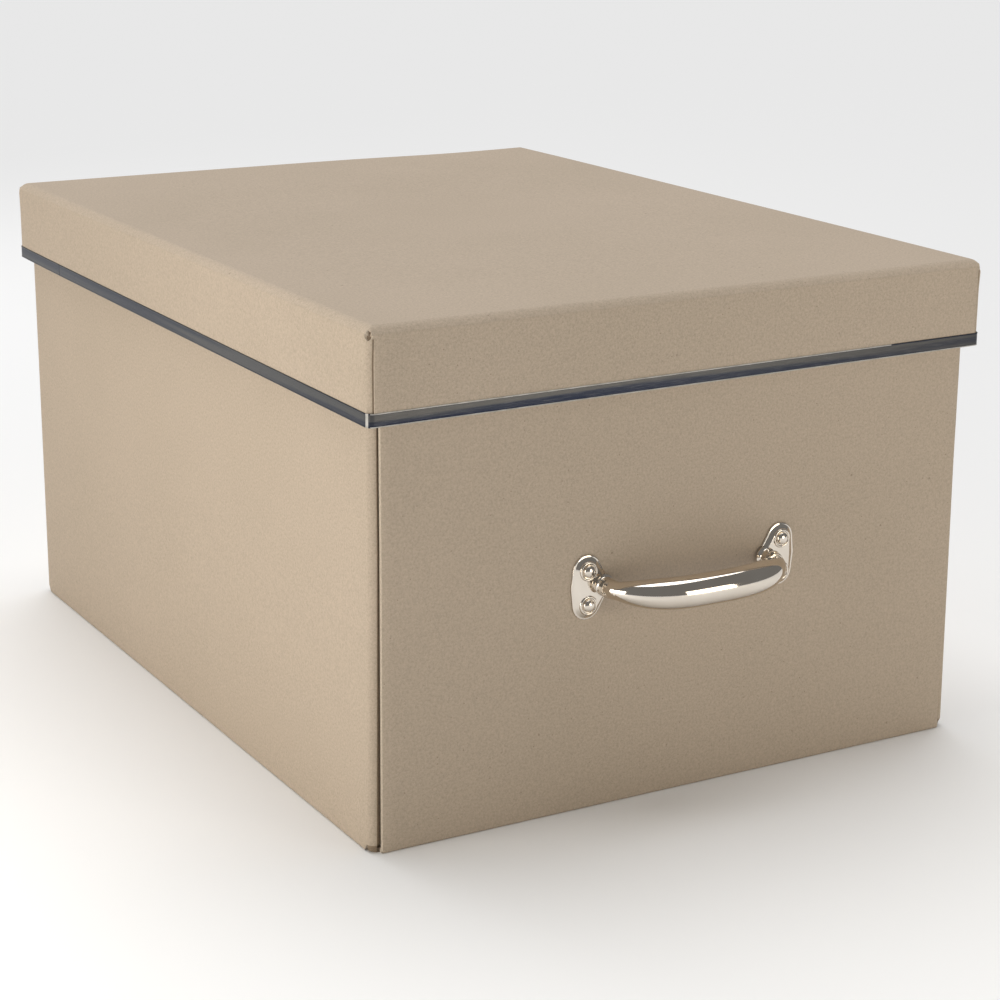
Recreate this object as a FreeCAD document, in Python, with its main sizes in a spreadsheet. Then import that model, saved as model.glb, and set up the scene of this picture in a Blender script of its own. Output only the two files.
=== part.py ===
import FreeCAD, Part
import math
import os
import re

import Sketcher
from FreeCAD import Vector

# Lift-off-lid archival box of folded fibreboard, with a metal edge strip round the lid's rim
# and a cast pull handle riveted to the front wall.
# Frame: millimetres, origin on the floor under the middle of the base, X across the front,
# Y towards the rear, Z up. The front wall is at -Y.

NAMESPACE = "dims"

DIMENSIONS = {
    # the base tray
    "base_width": 374.0,
    "base_depth": 498.0,
    "rim_height": 276.4,
    "board": 2.4,
    "fold_radius": 4.0,
    "rim_radius": 3.0,
    "corner_relief": 4.3,
    "end_inset": 4.2,
    "flap_reach": 146.0,
    "fit_gap": 0.2,
    "tab_width": 44.0,
    "tab_offset": 105.0,
    "tab_lift": 0.3,
    "slot_gap": 0.4,
    "insert_thickness": 1.6,
    # the lid
    "lid_side_overhang": 4.6,
    "lid_end_overhang": 6.5,
    "apron_depth": 48.5,
    "lid_flap_reach": 70.0,
    "strip_height": 7.2,
    "strip_inner_height": 5.0,
    "strip_sheet": 0.4,
    "strip_corner": 2.5,
    "strip_joint_offset": 75.0,
    "strip_joint_gap": 0.3,
    # the handle and its fasteners
    "handle_height": 125.8,
    "plate_centre": 61.9,
    "rivet_rise": 9.4,
    "plate_round": 8.5,
    "plate_thickness": 2.8,
    "plate_bevel": 1.1,
    "flare_centre": 51.9,
    "flare_rise": 5.7,
    "flare_round": 1.6,
    "collar_radius": 6.0,
    "collar_height": 0.9,
    "bar_span": 56.0,
    "bar_reach": 31.0,
    "bar_radius": 8.5,
    "neck_radius": 4.1,
    "throat_radius": 3.4,
    "neck_length": 9.0,
    "shank_radius": 2.0,
    "hole_gap": 0.2,
    "dome_radius": 3.6,
    "dome_height": 2.2,
    "washer_radius": 6.0,
    "washer_thickness": 0.8,
    "peen_radius": 3.2,
    "peen_height": 1.0,
}

doc = FreeCAD.newDocument("ArchivalBox")
sheet = doc.addObject("Spreadsheet::Sheet", NAMESPACE)
for row, (alias, number) in enumerate(DIMENSIONS.items(), start=1):
    sheet.set(f"A{row}", alias)
    sheet.set(f"B{row}", str(number))
    sheet.setAlias(f"B{row}", alias)
doc.recompute()

SUB_PARTS = []

# Derived places, as formulas of the sheet's cells
HALF_X = "(base_width / 2)"
HALF_Y = "(base_depth / 2)"
LID_X = "(base_width / 2 + lid_side_overhang)"
LID_Y = "(base_depth / 2 + lid_end_overhang)"
LID_TOP = "(rim_height + fit_gap + board)"
STRIP_BOTTOM = "(rim_height + fit_gap + board - apron_depth)"
APRON_BOTTOM = f"({STRIP_BOTTOM} + strip_sheet)"
INNER_RADIUS = "(fold_radius - board)"


def formula(text):
    """The text as an expression: every word in it is a cell of the sheet."""
    return re.sub(r"[a-z_]+", lambda word: f"{NAMESPACE}.{word.group()}", str(text))


def amount(text):
    """The number that a formula has now."""
    return float(sheet.evalExpression(formula(text)))


def keep(sub_part, label):
    sub_part.Label = label
    SUB_PARTS.append(sub_part)
    return sub_part


def new_body(name):
    return doc.addObject("PartDesign::Body", name)


def origin_plane(body, role):
    return next(plane for plane in body.Origin.OriginFeatures if plane.Role == role)


def new_sketch(body, role, shift="0", across="0", up="0"):
    """A sketch on one of the body's origin planes, moved along the plane's normal by shift."""
    sketch = body.newObject("Sketcher::SketchObject", f"{body.Name}Sketch")
    sketch.AttachmentSupport = [(origin_plane(body, role), "")]
    sketch.MapMode = "FlatFace"
    sketch.setExpression("AttachmentOffset.Base.x", formula(across))
    sketch.setExpression("AttachmentOffset.Base.y", formula(up))
    sketch.setExpression("AttachmentOffset.Base.z", formula(shift))
    return sketch


def constrain(sketch, kind, where, text):
    index = sketch.addConstraint(Sketcher.Constraint(kind, *where, amount(text)))
    sketch.setExpression(f"Constraints[{index}]", formula(text))


def arc_between(centre, start, end):
    """The shorter arc about the centre, and whether it runs from start to end."""
    radius = start.distanceToPoint(centre)
    first = math.atan2(start.y - centre.y, start.x - centre.x)
    last = math.atan2(end.y - centre.y, end.x - centre.x)
    forward = (last - first) % (2 * math.pi) < math.pi
    if not forward:
        first, last = last, first
    circle = Part.Circle(centre, Vector(0, 0, 1), radius)
    return Part.ArcOfCircle(circle, first, last), forward


def outline(sketch, corners):
    """A closed outline. A corner is (x, y), or (x, y, (cx, cy)) where an arc about
    (cx, cy) runs from it to the next corner. All of them are formulas."""
    points = [Vector(amount(corner[0]), amount(corner[1]), 0) for corner in corners]
    ends = []
    for index, corner in enumerate(corners):
        start, end = points[index], points[(index + 1) % len(points)]
        if len(corner) == 2:
            edge = sketch.addGeometry(Part.LineSegment(start, end), False)
            ends.append((edge, 1, 2))
            continue
        centre = Vector(amount(corner[2][0]), amount(corner[2][1]), 0)
        arc, forward = arc_between(centre, start, end)
        edge = sketch.addGeometry(arc, False)
        ends.append((edge, 1, 2) if forward else (edge, 2, 1))
        constrain(sketch, "DistanceX", (-1, 1, edge, 3), corner[2][0])
        constrain(sketch, "DistanceY", (-1, 1, edge, 3), corner[2][1])
    for index, (edge, start, _) in enumerate(ends):
        previous, _, end = ends[index - 1]
        sketch.addConstraint(Sketcher.Constraint("Coincident", previous, end, edge, start))
        after_arc = len(corners[index - 1]) == 3
        on_arc = len(corners[index]) == 3
        if after_arc and not on_arc:
            end_of_arc_constraint(sketch, edge, start, corners, index)
            continue
        constrain(sketch, "DistanceX", (-1, 1, edge, start), corners[index][0])
        constrain(sketch, "DistanceY", (-1, 1, edge, start), corners[index][1])


def end_of_arc_constraint(sketch, edge, start, corners, index):
    """An arc's end lies on its circle, so only one of its coordinates is free to state."""
    centre = corners[index - 1][2]
    across = abs(amount(corners[index][0]) - amount(centre[0]))
    along = abs(amount(corners[index][1]) - amount(centre[1]))
    if across < along:
        constrain(sketch, "DistanceX", (-1, 1, edge, start), corners[index][0])
    else:
        constrain(sketch, "DistanceY", (-1, 1, edge, start), corners[index][1])


def rectangle(sketch, low_x, high_x, low_y, high_y):
    outline(sketch, [(low_x, low_y), (high_x, low_y), (high_x, high_y), (low_x, high_y)])


def circle(sketch, across, up, radius):
    centre = Vector(amount(across), amount(up), 0)
    ring = sketch.addGeometry(Part.Circle(centre, Vector(0, 0, 1), amount(radius)), False)
    constrain(sketch, "DistanceX", (-1, 1, ring, 3), across)
    constrain(sketch, "DistanceY", (-1, 1, ring, 3), up)
    constrain(sketch, "Radius", (ring,), radius)


def pad(body, sketch, length, both_ways=False):
    feature = body.newObject("PartDesign::Pad", f"{body.Name}Pad")
    feature.Profile = sketch
    feature.setExpression("Length", formula(length))
    if both_ways:
        feature.SideType = "Symmetric"
    sketch.Visibility = False
    return feature


def pocket(body, sketch, length, reverse=False):
    """Cuts against the sketch's normal, or along it if reversed, and must remove something."""
    doc.recompute()
    before = body.Shape.Volume
    feature = body.newObject("PartDesign::Pocket", f"{body.Name}Pocket")
    feature.Profile = sketch
    feature.setExpression("Length", formula(length))
    feature.Reversed = reverse
    doc.recompute()
    if body.Shape.Volume >= before:
        raise RuntimeError(f"{feature.Name} cut nothing from {body.Label}")
    return feature


def folded_profile(sign, half, fold_level, far_level, turn):
    """A panel's section with the fold at one end of it: the fold's outer face starts at
    fold_level, the panel runs to far_level, and turn is +1 where that is upwards."""
    face = f"{sign} * {half}"
    inner_face = f"{sign} * ({half} - board)"
    root = f"{sign} * ({half} - fold_radius)"
    bend = f"{fold_level} + {turn} * fold_radius"
    centre = (root, bend)
    return [
        (root, fold_level, centre),
        (face, bend),
        (face, far_level),
        (inner_face, far_level),
        (inner_face, bend, centre),
        (root, f"{fold_level} + {turn} * board"),
    ]


# Base tray: one creased blank, with one solid for each panel between its creases


def base_floor():
    body = new_body("BaseFloor")
    sketch = new_sketch(body, "XY_Plane")
    reach_x = f"({HALF_X} - fold_radius)"
    reach_y = f"({HALF_Y} - fold_radius)"
    rectangle(sketch, f"-{reach_x}", reach_x, f"-{reach_y}", reach_y)
    pad(body, sketch, "board")
    slots = new_sketch(body, "XY_Plane")
    for end in (-1, 1):
        for side in (-1, 1):
            middle = f"{side} * tab_offset"
            faces = [f"{end} * ({HALF_Y} - 2 * board)", f"{end} * ({HALF_Y} - 3 * board)"]
            faces.sort(key=amount)
            half_slot = "(tab_width / 2 + slot_gap)"
            rectangle(
                slots,
                f"{middle} - {half_slot}",
                f"{middle} + {half_slot}",
                f"{faces[0]} - slot_gap",
                f"{faces[1]} + slot_gap",
            )
    pocket(body, slots, "board", reverse=True)
    keep(body, "base_floor")


def side_wall(side, label):
    """A long wall with the fold that joins it to the floor."""
    body = new_body(f"Wall{label.title().replace('_', '')}")
    sketch = new_sketch(body, "XZ_Plane")
    outline(sketch, folded_profile(side, HALF_X, "0", "rim_height", 1))
    pad(body, sketch, "base_depth - 2 * (board + fold_radius)", both_ways=True)
    keep(body, label)


def corner_flap(side, end, half_x, half_y, reach, bottom, top, label):
    """A wall's end flap with the rounded fold of the upright corner. It is turned in behind
    the end wall's outer panel. Returns the body, for its rivet holes."""
    body = new_body(f"Flap{label.title().replace('_', '')}")
    sketch = new_sketch(body, "XY_Plane", shift=bottom)
    centre = (f"{side} * ({half_x} - fold_radius)", f"{end} * ({half_y} - board - fold_radius)")
    outline(
        sketch,
        [
            (f"{side} * {half_x}", centre[1], centre),
            (centre[0], f"{end} * ({half_y} - board)"),
            (f"{side} * ({half_x} - {reach})", f"{end} * ({half_y} - board)"),
            (f"{side} * ({half_x} - {reach})", f"{end} * ({half_y} - 2 * board)"),
            (centre[0], f"{end} * ({half_y} - 2 * board)", centre),
            (f"{side} * ({half_x} - board)", centre[1]),
        ],
    )
    pad(body, sketch, f"{top} - {bottom}")
    keep(body, label)
    return body


def rivet_holes(body, sides):
    """Clearance holes for the handle's rivets, drilled from the front face inwards."""
    sketch = new_sketch(body, "XZ_Plane", shift=HALF_Y)
    for side in sides:
        for rise in (-1, 1):
            circle(
                sketch,
                f"{side} * plate_centre",
                f"handle_height + {rise} * rivet_rise",
                "shank_radius + hole_gap",
            )
    pocket(body, sketch, "4 * board")


def end_wall_outer(end, label):
    """The outer panel of a short wall with the fold that joins it to the floor."""
    body = new_body(f"Outer{label.title().replace('_', '')}")
    sketch = new_sketch(body, "YZ_Plane")
    outline(sketch, folded_profile(end, HALF_Y, "0", "rim_height - rim_radius", 1))
    pad(body, sketch, "base_width - 2 * end_inset", both_ways=True)
    if end < 0:
        rivet_holes(body, (-1, 1))
    keep(body, label)


def end_wall_inner(end, label):
    """The panel that rolls over the rim and comes down inside, with its two locking tabs."""
    body = new_body(f"Inner{label.title().replace('_', '')}")
    sketch = new_sketch(body, "YZ_Plane")
    bend = "rim_height - rim_radius"
    outer_centre = (f"{end} * ({HALF_Y} - rim_radius)", bend)
    inner_centre = (f"{end} * ({HALF_Y} - 3 * board + rim_radius)", bend)
    outline(
        sketch,
        [
            (f"{end} * {HALF_Y}", bend, outer_centre),
            (outer_centre[0], "rim_height"),
            (inner_centre[0], "rim_height", inner_centre),
            (f"{end} * ({HALF_Y} - 3 * board)", bend),
            (f"{end} * ({HALF_Y} - 3 * board)", "board"),
            (f"{end} * ({HALF_Y} - 2 * board)", "board"),
            (f"{end} * ({HALF_Y} - 2 * board)", bend, inner_centre),
            (inner_centre[0], "rim_height - board"),
            (outer_centre[0], "rim_height - board", outer_centre),
            (f"{end} * ({HALF_Y} - board)", bend),
        ],
    )
    pad(body, sketch, "base_width - 2 * end_inset", both_ways=True)
    tabs = new_sketch(body, "XY_Plane", shift="tab_lift")
    levels = [f"{end} * ({HALF_Y} - 2 * board)", f"{end} * ({HALF_Y} - 3 * board)"]
    levels.sort(key=amount)
    for side in (-1, 1):
        middle = f"{side} * tab_offset"
        rectangle(tabs, f"{middle} - tab_width / 2", f"{middle} + tab_width / 2", *levels)
    pad(body, tabs, "board - tab_lift")
    if end < 0:
        rivet_holes(body, (-1, 1))
    keep(body, label)


def floor_insert():
    """The loose board that lies on the floor and covers the tabs' slots."""
    board = doc.addObject("Part::Box", "FloorInsert")
    reach_x = f"({HALF_X} - fold_radius - fit_gap)"
    reach_y = f"({HALF_Y} - 3 * board - fit_gap)"
    board.setExpression("Length", formula(f"2 * {reach_x}"))
    board.setExpression("Width", formula(f"2 * {reach_y}"))
    board.setExpression("Height", formula("insert_thickness"))
    board.setExpression("Placement.Base.x", formula(f"-{reach_x}"))
    board.setExpression("Placement.Base.y", formula(f"-{reach_y}"))
    board.setExpression("Placement.Base.z", formula("board"))
    keep(board, "floor_insert")


def base_tray():
    base_floor()
    for side, side_name in ((-1, "left"), (1, "right")):
        side_wall(side, f"{side_name}_wall")
        for end, end_name in ((-1, "front"), (1, "rear")):
            flap = corner_flap(
                side,
                end,
                HALF_X,
                HALF_Y,
                "flap_reach",
                "corner_relief",
                "(rim_height - board - fit_gap)",
                f"{end_name}_{side_name}_flap",
            )
            if end < 0:
                rivet_holes(flap, (side,))
    for end, end_name in ((-1, "front"), (1, "rear")):
        end_wall_outer(end, f"{end_name}_wall_outer")
        end_wall_inner(end, f"{end_name}_wall_inner")
    floor_insert()


# Lid: a second creased blank, again one solid for each panel


def lid_top():
    panel = doc.addObject("Part::Box", "LidTop")
    reach_x = f"({LID_X} - fold_radius)"
    reach_y = f"({LID_Y} - fold_radius)"
    panel.setExpression("Length", formula(f"2 * {reach_x}"))
    panel.setExpression("Width", formula(f"2 * {reach_y}"))
    panel.setExpression("Height", formula("board"))
    panel.setExpression("Placement.Base.x", formula(f"-{reach_x}"))
    panel.setExpression("Placement.Base.y", formula(f"-{reach_y}"))
    panel.setExpression("Placement.Base.z", formula(f"{LID_TOP} - board"))
    keep(panel, "lid_top")


def lid_apron(plane, sign, half, length, label):
    """A hanging edge of the lid with the fold that joins it to the top."""
    body = new_body(f"Lid{label.title().replace('_', '')}")
    sketch = new_sketch(body, plane)
    outline(sketch, folded_profile(sign, half, LID_TOP, APRON_BOTTOM, -1))
    pad(body, sketch, length, both_ways=True)
    keep(body, label)


def rounded_frame(sketch, half_x, half_y, corner):
    """A rectangle about the origin with round corners."""
    corners = []
    for side, end, x_first in ((1, -1, True), (1, 1, False), (-1, 1, True), (-1, -1, False)):
        centre = (f"{side} * ({half_x} - {corner})", f"{end} * ({half_y} - {corner})")
        on_end = (centre[0], f"{end} * {half_y}")
        on_side = (f"{side} * {half_x}", centre[1])
        first, last = (on_end, on_side) if x_first else (on_side, on_end)
        corners += [(*first, centre), last]
    outline(sketch, corners)


def edge_strip():
    """One length of thin metal channel bent round the lid's rim, its two ends meeting in a
    butt joint near the rear end of the left side."""
    body = new_body("EdgeStrip")
    faces = [
        (f"({LID_X} + strip_sheet)", f"({LID_Y} + strip_sheet)", "strip_corner"),
        (LID_X, LID_Y, "(strip_corner - strip_sheet)"),
        (f"({LID_X} - board)", f"({LID_Y} - board)", "(2 * strip_sheet)"),
        (f"({LID_X} - board - strip_sheet)", f"({LID_Y} - board - strip_sheet)", "strip_sheet"),
    ]
    walls = ((0, 3, "strip_sheet"), (0, 1, "strip_height"), (2, 3, "strip_inner_height"))
    for outer, inner, height in walls:
        sketch = new_sketch(body, "XY_Plane", shift=STRIP_BOTTOM)
        rounded_frame(sketch, *faces[outer])
        rounded_frame(sketch, *faces[inner])
        pad(body, sketch, height)
    joint = new_sketch(body, "XY_Plane", shift=STRIP_BOTTOM)
    middle = f"({LID_Y} - strip_joint_offset)"
    rectangle(
        joint,
        f"-({LID_X} + 2 * strip_sheet)",
        f"-({LID_X} - board - 2 * strip_sheet)",
        f"{middle} - strip_joint_gap / 2",
        f"{middle} + strip_joint_gap / 2",
    )
    pocket(body, joint, "strip_height", reverse=True)
    keep(body, "lid_edge_strip")


def lid():
    lid_top()
    flap_bottom = f"({STRIP_BOTTOM} + strip_inner_height + fit_gap)"
    flap_top = f"({LID_TOP} - corner_relief)"
    side_length = f"2 * ({LID_Y} - board - fold_radius)"
    end_length = f"2 * ({LID_X} - end_inset)"
    for side, side_name in ((-1, "left"), (1, "right")):
        lid_apron("XZ_Plane", side, LID_X, side_length, f"lid_{side_name}_apron")
        for end, end_name in ((-1, "front"), (1, "rear")):
            corner_flap(
                side,
                end,
                LID_X,
                LID_Y,
                "lid_flap_reach",
                flap_bottom,
                flap_top,
                f"lid_{end_name}_{side_name}_flap",
            )
    for end, end_name in ((-1, "front"), (1, "rear")):
        lid_apron("YZ_Plane", end, LID_Y, end_length, f"lid_{end_name}_apron")
    edge_strip()


# Handle: one casting of two plates, two necks and an arched bar, with four rivets


def tangent_outline(sketch, circles):
    """The outline round a ring of circles, anticlockwise: their arcs and common tangents."""
    discs = [(Vector(amount(x), amount(y), 0), amount(r)) for x, y, r in circles]
    normals = []
    for index, (centre, radius) in enumerate(discs):
        next_centre, next_radius = discs[(index + 1) % len(discs)]
        run = next_centre - centre
        heading = math.atan2(run.y, run.x)
        normals.append(heading - math.acos((radius - next_radius) / run.Length))
    arcs = []
    for index, (centre, radius) in enumerate(discs):
        start, end = normals[index - 1], normals[index]
        ring = Part.Circle(centre, Vector(0, 0, 1), radius)
        while end < start:
            end += 2 * math.pi
        arc = sketch.addGeometry(Part.ArcOfCircle(ring, start, end), False)
        constrain(sketch, "DistanceX", (-1, 1, arc, 3), circles[index][0])
        constrain(sketch, "DistanceY", (-1, 1, arc, 3), circles[index][1])
        constrain(sketch, "Radius", (arc,), circles[index][2])
        arcs.append(arc)
    for index, (centre, radius) in enumerate(discs):
        next_centre, next_radius = discs[(index + 1) % len(discs)]
        angle = normals[index]
        outward = Vector(math.cos(angle), math.sin(angle), 0)
        line = sketch.addGeometry(
            Part.LineSegment(centre + outward * radius, next_centre + outward * next_radius),
            False,
        )
        next_arc = arcs[(index + 1) % len(arcs)]
        sketch.addConstraint(Sketcher.Constraint("Tangent", arcs[index], 2, line, 1))
        sketch.addConstraint(Sketcher.Constraint("Tangent", line, 2, next_arc, 1))


def front_edges(shape, level):
    """Names of the edges that lie wholly in the plane Y = level."""
    names = []
    for number, edge in enumerate(shape.Edges, start=1):
        box = edge.BoundBox
        if abs(box.YMin - level) < 1e-4 and abs(box.YMax - level) < 1e-4:
            names.append(f"Edge{number}")
    return names


def handle_plate(side):
    """A plate rounded about its two rivets and flared towards the neck, with a bevelled rim
    and a raised collar under each rivet head."""
    body = new_body("PlateLeft" if side < 0 else "PlateRight")
    sketch = new_sketch(body, "XZ_Plane", shift=HALF_Y)
    low, high = "handle_height - rivet_rise", "handle_height + rivet_rise"
    flare_low, flare_high = "handle_height - flare_rise", "handle_height + flare_rise"
    far, near = f"{side} * plate_centre", f"{side} * flare_centre"
    ring = [
        (far, low, "plate_round"),
        (far, high, "plate_round"),
        (near, flare_high, "flare_round"),
        (near, flare_low, "flare_round"),
    ]
    if side < 0:
        ring.reverse()
    tangent_outline(sketch, ring)
    slab = pad(body, sketch, "plate_thickness")
    doc.recompute()
    rim = body.newObject("PartDesign::Chamfer", f"{body.Name}Bevel")
    rim.Base = (slab, front_edges(slab.Shape, -amount(f"{HALF_Y} + plate_thickness")))
    rim.setExpression("Size", formula("plate_bevel"))
    collars = new_sketch(body, "XZ_Plane", shift=f"{HALF_Y} + plate_thickness")
    for rise in (low, high):
        circle(collars, far, rise, "collar_radius")
    pad(body, collars, "collar_height")
    holes = new_sketch(body, "XZ_Plane", shift=f"{HALF_Y} + plate_thickness + collar_height")
    for rise in (low, high):
        circle(holes, far, rise, "shank_radius + hole_gap")
    pocket(body, holes, "plate_thickness + collar_height")
    return body


BAR_FULLNESS = 3.05
BAR_SHOULDER = 1.26
BAR_TAPER = 3.7
STATIONS = 17


def bar_station(angle):
    """Centre of the bar's section at an angle round its arch, from 0 at the right plate to
    pi at the left one: how far along X, and how far out from the wall."""
    across = abs(math.cos(angle)) ** (2 / BAR_FULLNESS)
    out = math.sin(angle) ** BAR_SHOULDER
    return math.copysign(across, math.cos(angle)) * amount("bar_span"), out * amount("bar_reach")


def bar_section_radius(across, out):
    """Fat in the middle, narrowest at the throat, and the neck's own radius near the plate."""
    throat, middle, neck = amount("throat_radius"), amount("bar_radius"), amount("neck_radius")
    if out < amount("neck_length"):
        return neck
    share = abs(across) / amount("bar_span")
    return throat + (middle - throat) * (1 - share**BAR_TAPER)


def handle_bar():
    """The arched bar and its two necks, as one loft of round sections along the arch."""
    first = math.asin((amount("plate_thickness") / 2 / amount("bar_reach")) ** (1 / BAR_SHOULDER))
    wires = []
    for step in range(STATIONS):
        angle = first + (math.pi - 2 * first) * step / (STATIONS - 1)
        across, out = bar_station(angle)
        nudge = 1e-3
        before = bar_station(max(angle - nudge, 0))
        after = bar_station(min(angle + nudge, math.pi))
        heading = Vector(after[0] - before[0], -(after[1] - before[1]), 0)
        centre = Vector(across, -amount(HALF_Y) - out, amount("handle_height"))
        section = Part.Circle(centre, heading, bar_section_radius(across, out))
        wires.append(Part.Wire(section.toShape()))
    bar = doc.addObject("Part::Feature", "HandleBar")
    bar.Shape = Part.makeLoft(wires, True, False)
    bar.Placement = FreeCAD.Placement()
    return bar


def handle():
    casting = doc.addObject("Part::MultiFuse", "Handle")
    casting.Shapes = [handle_plate(-1), handle_plate(1), handle_bar()]
    casting.Refine = False
    keep(casting, "handle")


def turned_solid(name, side, rise, corners):
    """A body of revolution about a rivet's axis: its corners are (along Y, radius)."""
    body = new_body(name)
    sketch = new_sketch(
        body,
        "YZ_Plane",
        shift=f"{side} * plate_centre",
        up=f"handle_height + {rise} * rivet_rise",
    )
    outline(sketch, corners)
    turned = body.newObject("PartDesign::Revolution", f"{name}Turned")
    turned.Profile = sketch
    turned.ReferenceAxis = (sketch, ["H_Axis"])
    turned.Angle = 360
    return body


def fasteners():
    """Four rivets, peened over four washers inside the front wall."""
    seat = f"-({HALF_Y} + plate_thickness + collar_height)"
    inside = f"-({HALF_Y} - 3 * board)"
    behind = f"({inside} + washer_thickness)"
    tail = f"({behind} + peen_height)"
    crown_centre = f"({seat} - dome_height + (dome_height^2 + dome_radius^2) / (2 * dome_height))"
    rivet = [
        (f"{seat} - dome_height", "0", (crown_centre, "0")),
        (seat, "dome_radius"),
        (seat, "shank_radius"),
        (behind, "shank_radius"),
        (behind, "peen_radius"),
        (tail, "peen_radius"),
        (tail, "0"),
    ]
    washer = [
        (inside, "shank_radius + hole_gap"),
        (behind, "shank_radius + hole_gap"),
        (behind, "washer_radius"),
        (inside, "washer_radius"),
    ]
    for label, corners in (("handle_rivets", rivet), ("rivet_washers", washer)):
        group = doc.addObject("Part::Compound", f"Group{label.title().replace('_', '')}")
        group.Links = [
            turned_solid(f"Turned{label.title().replace('_', '')}{number}", side, rise, corners)
            for number, (side, rise) in enumerate(((-1, -1), (-1, 1), (1, -1), (1, 1)))
        ]
        keep(group, label)


def check_and_write():
    doc.recompute()
    for thing in doc.Objects:
        if "Invalid" in thing.State or "Error" in thing.State:
            raise RuntimeError(f"{thing.Name} ({thing.Label}) failed: {thing.State}")
    os.makedirs("parts", exist_ok=True)
    for sub_part in SUB_PARTS:
        shape = sub_part.Shape
        if shape.isNull() or not shape.isValid() or not shape.Solids:
            raise RuntimeError(f"{sub_part.Label} has no valid solid")
    for sub_part in SUB_PARTS:
        sub_part.Shape.exportStep(f"parts/{sub_part.Label}.step")
        print(sub_part.Label, len(sub_part.Shape.Solids), round(sub_part.Shape.Volume))


base_tray()
lid()
handle()
fasteners()
check_and_write()
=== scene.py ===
import math

import bmesh
import bpy
from mathutils import Matrix, Vector, noise


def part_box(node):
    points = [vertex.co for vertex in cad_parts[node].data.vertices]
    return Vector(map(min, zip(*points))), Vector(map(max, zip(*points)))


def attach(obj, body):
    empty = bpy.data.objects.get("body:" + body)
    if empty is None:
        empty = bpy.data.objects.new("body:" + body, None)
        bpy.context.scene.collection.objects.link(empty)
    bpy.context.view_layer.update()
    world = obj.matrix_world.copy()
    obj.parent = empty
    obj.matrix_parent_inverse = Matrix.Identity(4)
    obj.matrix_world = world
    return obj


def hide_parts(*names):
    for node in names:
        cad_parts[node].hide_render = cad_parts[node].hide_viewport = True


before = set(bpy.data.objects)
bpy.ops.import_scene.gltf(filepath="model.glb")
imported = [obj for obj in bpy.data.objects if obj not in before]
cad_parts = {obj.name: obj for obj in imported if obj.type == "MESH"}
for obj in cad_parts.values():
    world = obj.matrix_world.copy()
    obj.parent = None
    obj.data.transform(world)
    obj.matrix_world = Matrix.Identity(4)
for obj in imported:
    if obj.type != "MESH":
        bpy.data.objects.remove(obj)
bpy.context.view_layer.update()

MM = 0.001

# ---------------------------------------------------------------- sizes read from the frame

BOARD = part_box("base_floor")[1].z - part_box("base_floor")[0].z
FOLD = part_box("left_wall")[1].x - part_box("left_wall")[0].x
BASE_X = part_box("right_wall")[1].x
BASE_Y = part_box("rear_wall_outer")[1].y
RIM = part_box("front_wall_inner")[1].z
RIM_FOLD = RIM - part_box("front_wall_outer")[1].z
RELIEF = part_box("front_left_flap")[0].z
FLAP_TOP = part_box("front_left_flap")[1].z
FLAP_X = -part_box("front_left_flap")[1].x
END_INSET = 0.9 * MM
END_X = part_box("front_wall_outer")[1].x - END_INSET
TAB_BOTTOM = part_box("front_wall_inner")[0].z
LID_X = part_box("lid_right_apron")[1].x
LID_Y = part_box("lid_rear_apron")[1].y
LID_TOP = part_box("lid_top")[1].z
LID_FLAP_X = -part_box("lid_front_left_flap")[1].x
LID_FLAP_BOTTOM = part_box("lid_front_left_flap")[0].z
APRON_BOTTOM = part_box("lid_left_apron")[0].z
STRIP_LOW, STRIP_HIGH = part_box("lid_edge_strip")
INSERT_LOW, INSERT_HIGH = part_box("floor_insert")
HANDLE_LOW, HANDLE_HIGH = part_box("handle")
RIVETS_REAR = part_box("handle_rivets")[1].y
BOTTOM_FOLD = 1.3 * MM
SPLAY = 1.7 * MM
SPLAY_TOP = 0.16

# ---------------------------------------------------------------- materials


def new_material(name):
    """A material with its nodes, its links and its main shader."""
    material = bpy.data.materials.new(name)
    material.use_nodes = True
    nodes = material.node_tree.nodes
    return material, nodes, material.node_tree.links, nodes["Principled BSDF"]


def add_noise(nodes, links, vector, scale, detail=4.0, roughness=0.6, distortion=0.0):
    texture = nodes.new("ShaderNodeTexNoise")
    texture.inputs["Scale"].default_value = scale
    texture.inputs["Detail"].default_value = detail
    texture.inputs["Roughness"].default_value = roughness
    texture.inputs["Distortion"].default_value = distortion
    links.new(vector, texture.inputs["Vector"])
    return texture


def add_stretch(nodes, links, vector, turn, stretch):
    """The same coordinates, turned and squeezed, so that a noise runs out into fibres."""
    mapping = nodes.new("ShaderNodeMapping")
    mapping.inputs["Rotation"].default_value = turn
    mapping.inputs["Scale"].default_value = stretch
    links.new(vector, mapping.inputs["Vector"])
    return mapping.outputs["Vector"]


def add_ramp(nodes, links, value, stops):
    ramp = nodes.new("ShaderNodeValToRGB")
    elements = ramp.color_ramp.elements
    while len(elements) < len(stops):
        elements.new(0.5)
    for element, (place, colour) in zip(elements, stops):
        element.position = place
        element.color = (*colour, 1.0)
    links.new(value, ramp.inputs["Fac"])
    return ramp.outputs["Color"]


def add_mix(nodes, links, blend, factor, first, second):
    """Mixes two colours. factor is a number or a socket, and so are the colours."""
    mix = nodes.new("ShaderNodeMix")
    mix.data_type = "RGBA"
    mix.blend_type = blend
    for value, socket in ((factor, mix.inputs[0]), (first, mix.inputs[6]), (second, mix.inputs[7])):
        if isinstance(value, bpy.types.NodeSocket):
            links.new(value, socket)
        elif isinstance(value, tuple):
            socket.default_value = (*value, 1.0)
        else:
            socket.default_value = value
    return mix.outputs[2]


def add_math(nodes, links, operation, first, second):
    math_node = nodes.new("ShaderNodeMath")
    math_node.operation = operation
    for value, socket in ((first, math_node.inputs[0]), (second, math_node.inputs[1])):
        if isinstance(value, bpy.types.NodeSocket):
            links.new(value, socket)
        else:
            socket.default_value = value
    return math_node.outputs[0]


def grey(level):
    return (level, level, level)


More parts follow.
